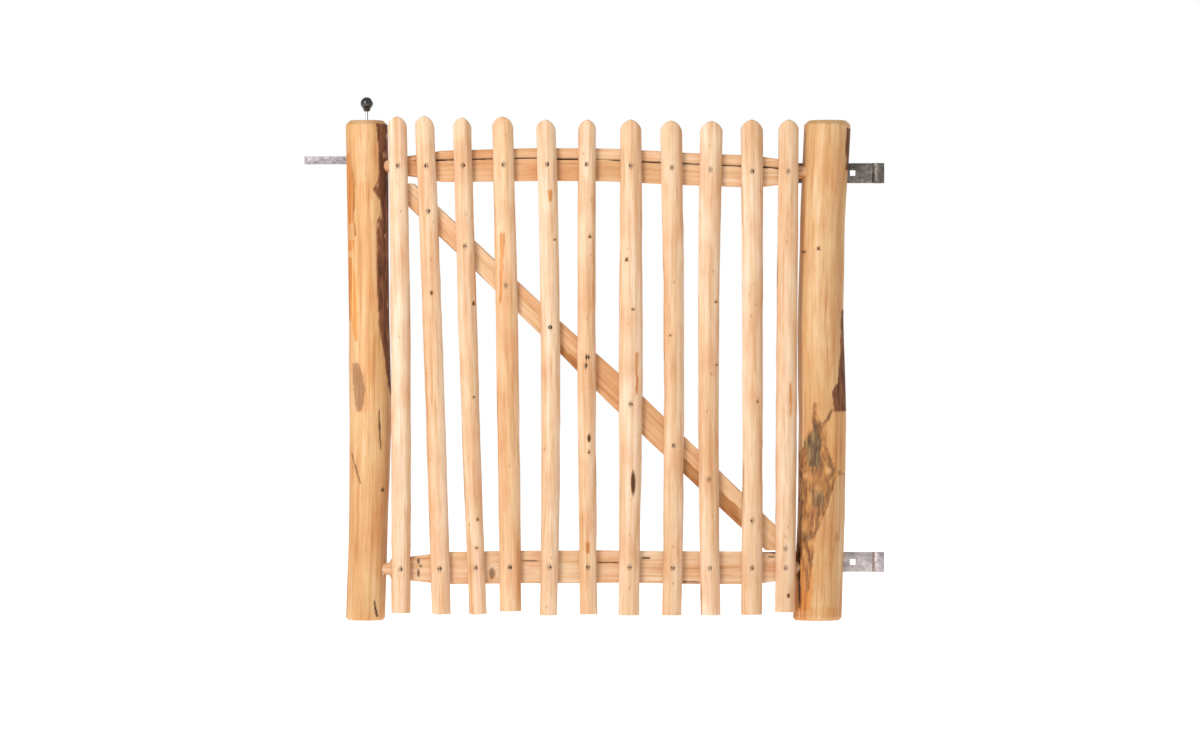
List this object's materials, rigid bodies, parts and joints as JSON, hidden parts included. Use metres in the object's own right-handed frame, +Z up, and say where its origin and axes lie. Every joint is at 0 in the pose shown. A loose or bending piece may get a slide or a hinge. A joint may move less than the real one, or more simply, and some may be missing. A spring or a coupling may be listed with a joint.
{
  "type": "garden gate",
  "caption": "Rustic garden gate leaf: peeled round posts, half-round rails, cleft pointed pales, a diagonal brace, strap hinge eyes and a lift latch with a ball pull on top of the post.",
  "frame": {"origin": "centre of the lower hinge eye's bore, on the hinge axis", "axes": "+Z up along the hinge axis, +X away from the leaf past the hinge side, +Y to the rear of the leaf, away from the pales"},
  "size_m": [1.1635, 0.0989, 1.0485],
  "materials": {
    "peeled_post": "peeled round wood, oiled look",
    "cleft_pale": "cleft and draw-knifed",
    "half_round_rail": "peeled half-round",
    "dark_galvanised_steel": "dull dark zinc",
    "bright_galvanised_steel": "galvanised",
    "zinc_fastener": "zinc plated",
    "brown_screw": "browned",
    "black_knob": "polished"
  },
  "bodies": {
    "leaf": {"bottom_rail": "half_round_rail", "bottom_rail_screws": "brown_screw", "brace": "half_round_rail", "brace_screws": "brown_screw", "coach_screws": "zinc_fastener", "coach_washers": "zinc_fastener", "hinge_post": "peeled_post", "latch_pivot_pin": "zinc_fastener", "latch_post": "peeled_post", "lower_hinge_strap": "bright_galvanised_steel", "pale_01": "cleft_pale", "pale_02": "cleft_pale", "pale_03": "cleft_pale", "pale_04": "cleft_pale", "pale_05": "cleft_pale", "pale_06": "cleft_pale", "pale_07": "cleft_pale", "pale_08": "cleft_pale", "pale_09": "cleft_pale", "pale_10": "cleft_pale", "pale_11": "cleft_pale", "strap_screws": "zinc_fastener", "tenon_lock_screws": "zinc_fastener", "top_rail": "half_round_rail", "top_rail_screws": "brown_screw", "upper_hinge_strap": "dark_galvanised_steel"},
    "latch": {"latch_bar": "bright_galvanised_steel"},
    "pull": {"pull_rod": "zinc_fastener", "rod_clevis": "zinc_fastener", "clevis_pin": "zinc_fastener", "ball_knob": "black_knob"}
  },
  "joints": [
    {"name": "latch_pivot", "type": "hinge", "parent": "leaf", "child": "latch", "pos_m": [-1, 0.002, 0.806], "axis": [0, 1, 0], "range_deg": [0, 18]},
    {"name": "pull_lift", "type": "slide", "parent": "leaf", "child": "pull", "axis": [0, 0, 1], "range_m": [0, 0.0085]}
  ],
  "couplings": [
    {"joint": "pull_lift", "follows": "latch_pivot", "m_per_rad": 0.026}
  ]
}
